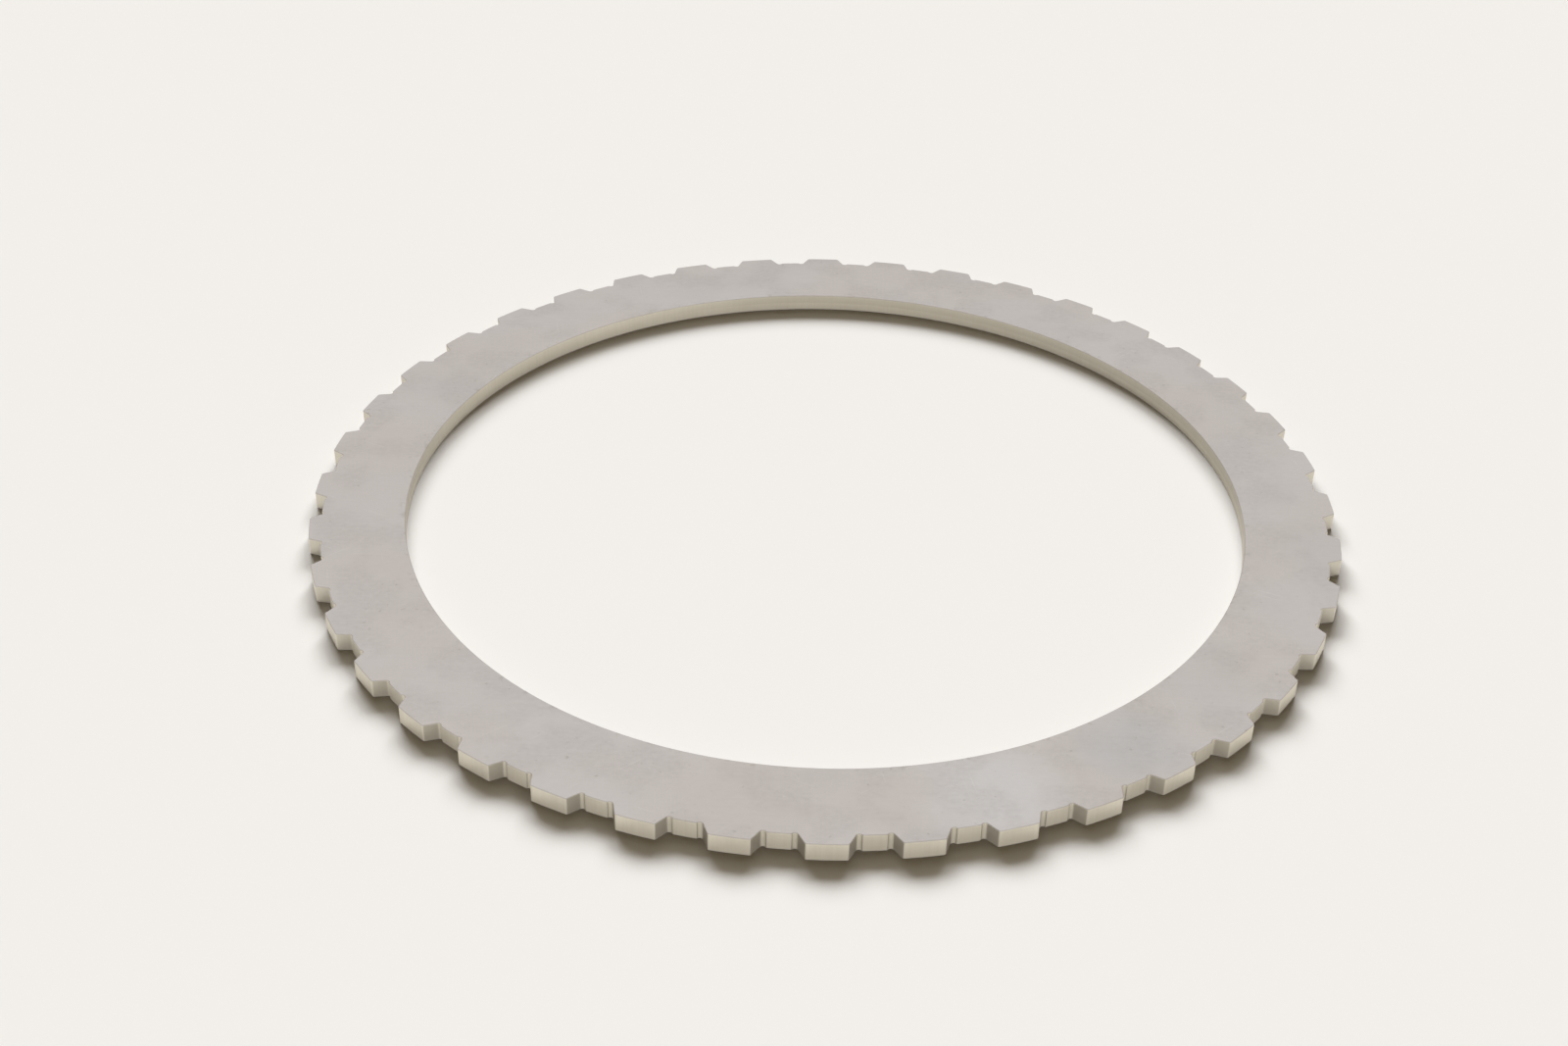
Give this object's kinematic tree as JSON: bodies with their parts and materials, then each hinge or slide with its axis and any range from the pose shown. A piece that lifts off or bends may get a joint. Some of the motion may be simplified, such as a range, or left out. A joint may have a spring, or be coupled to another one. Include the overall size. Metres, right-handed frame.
{
  "type": "clutch pressure plate",
  "caption": "Flat steel plate ring of a multi-plate clutch, with short spline teeth round its outer edge and a plain bore.",
  "frame": {"origin": "centre of the plate's lower face, on the clutch axis", "axes": "+Z along the clutch axis, out of the upper face; +X through the middle of one tooth"},
  "size_m": [0.25, 0.25, 0.0045],
  "materials": {
    "ground_steel": "satin ground faces, blanked and tumbled edges, a light oil film"
  },
  "bodies": {
    "root": {"pressure_plate": "ground_steel"}
  },
  "joints": []
}
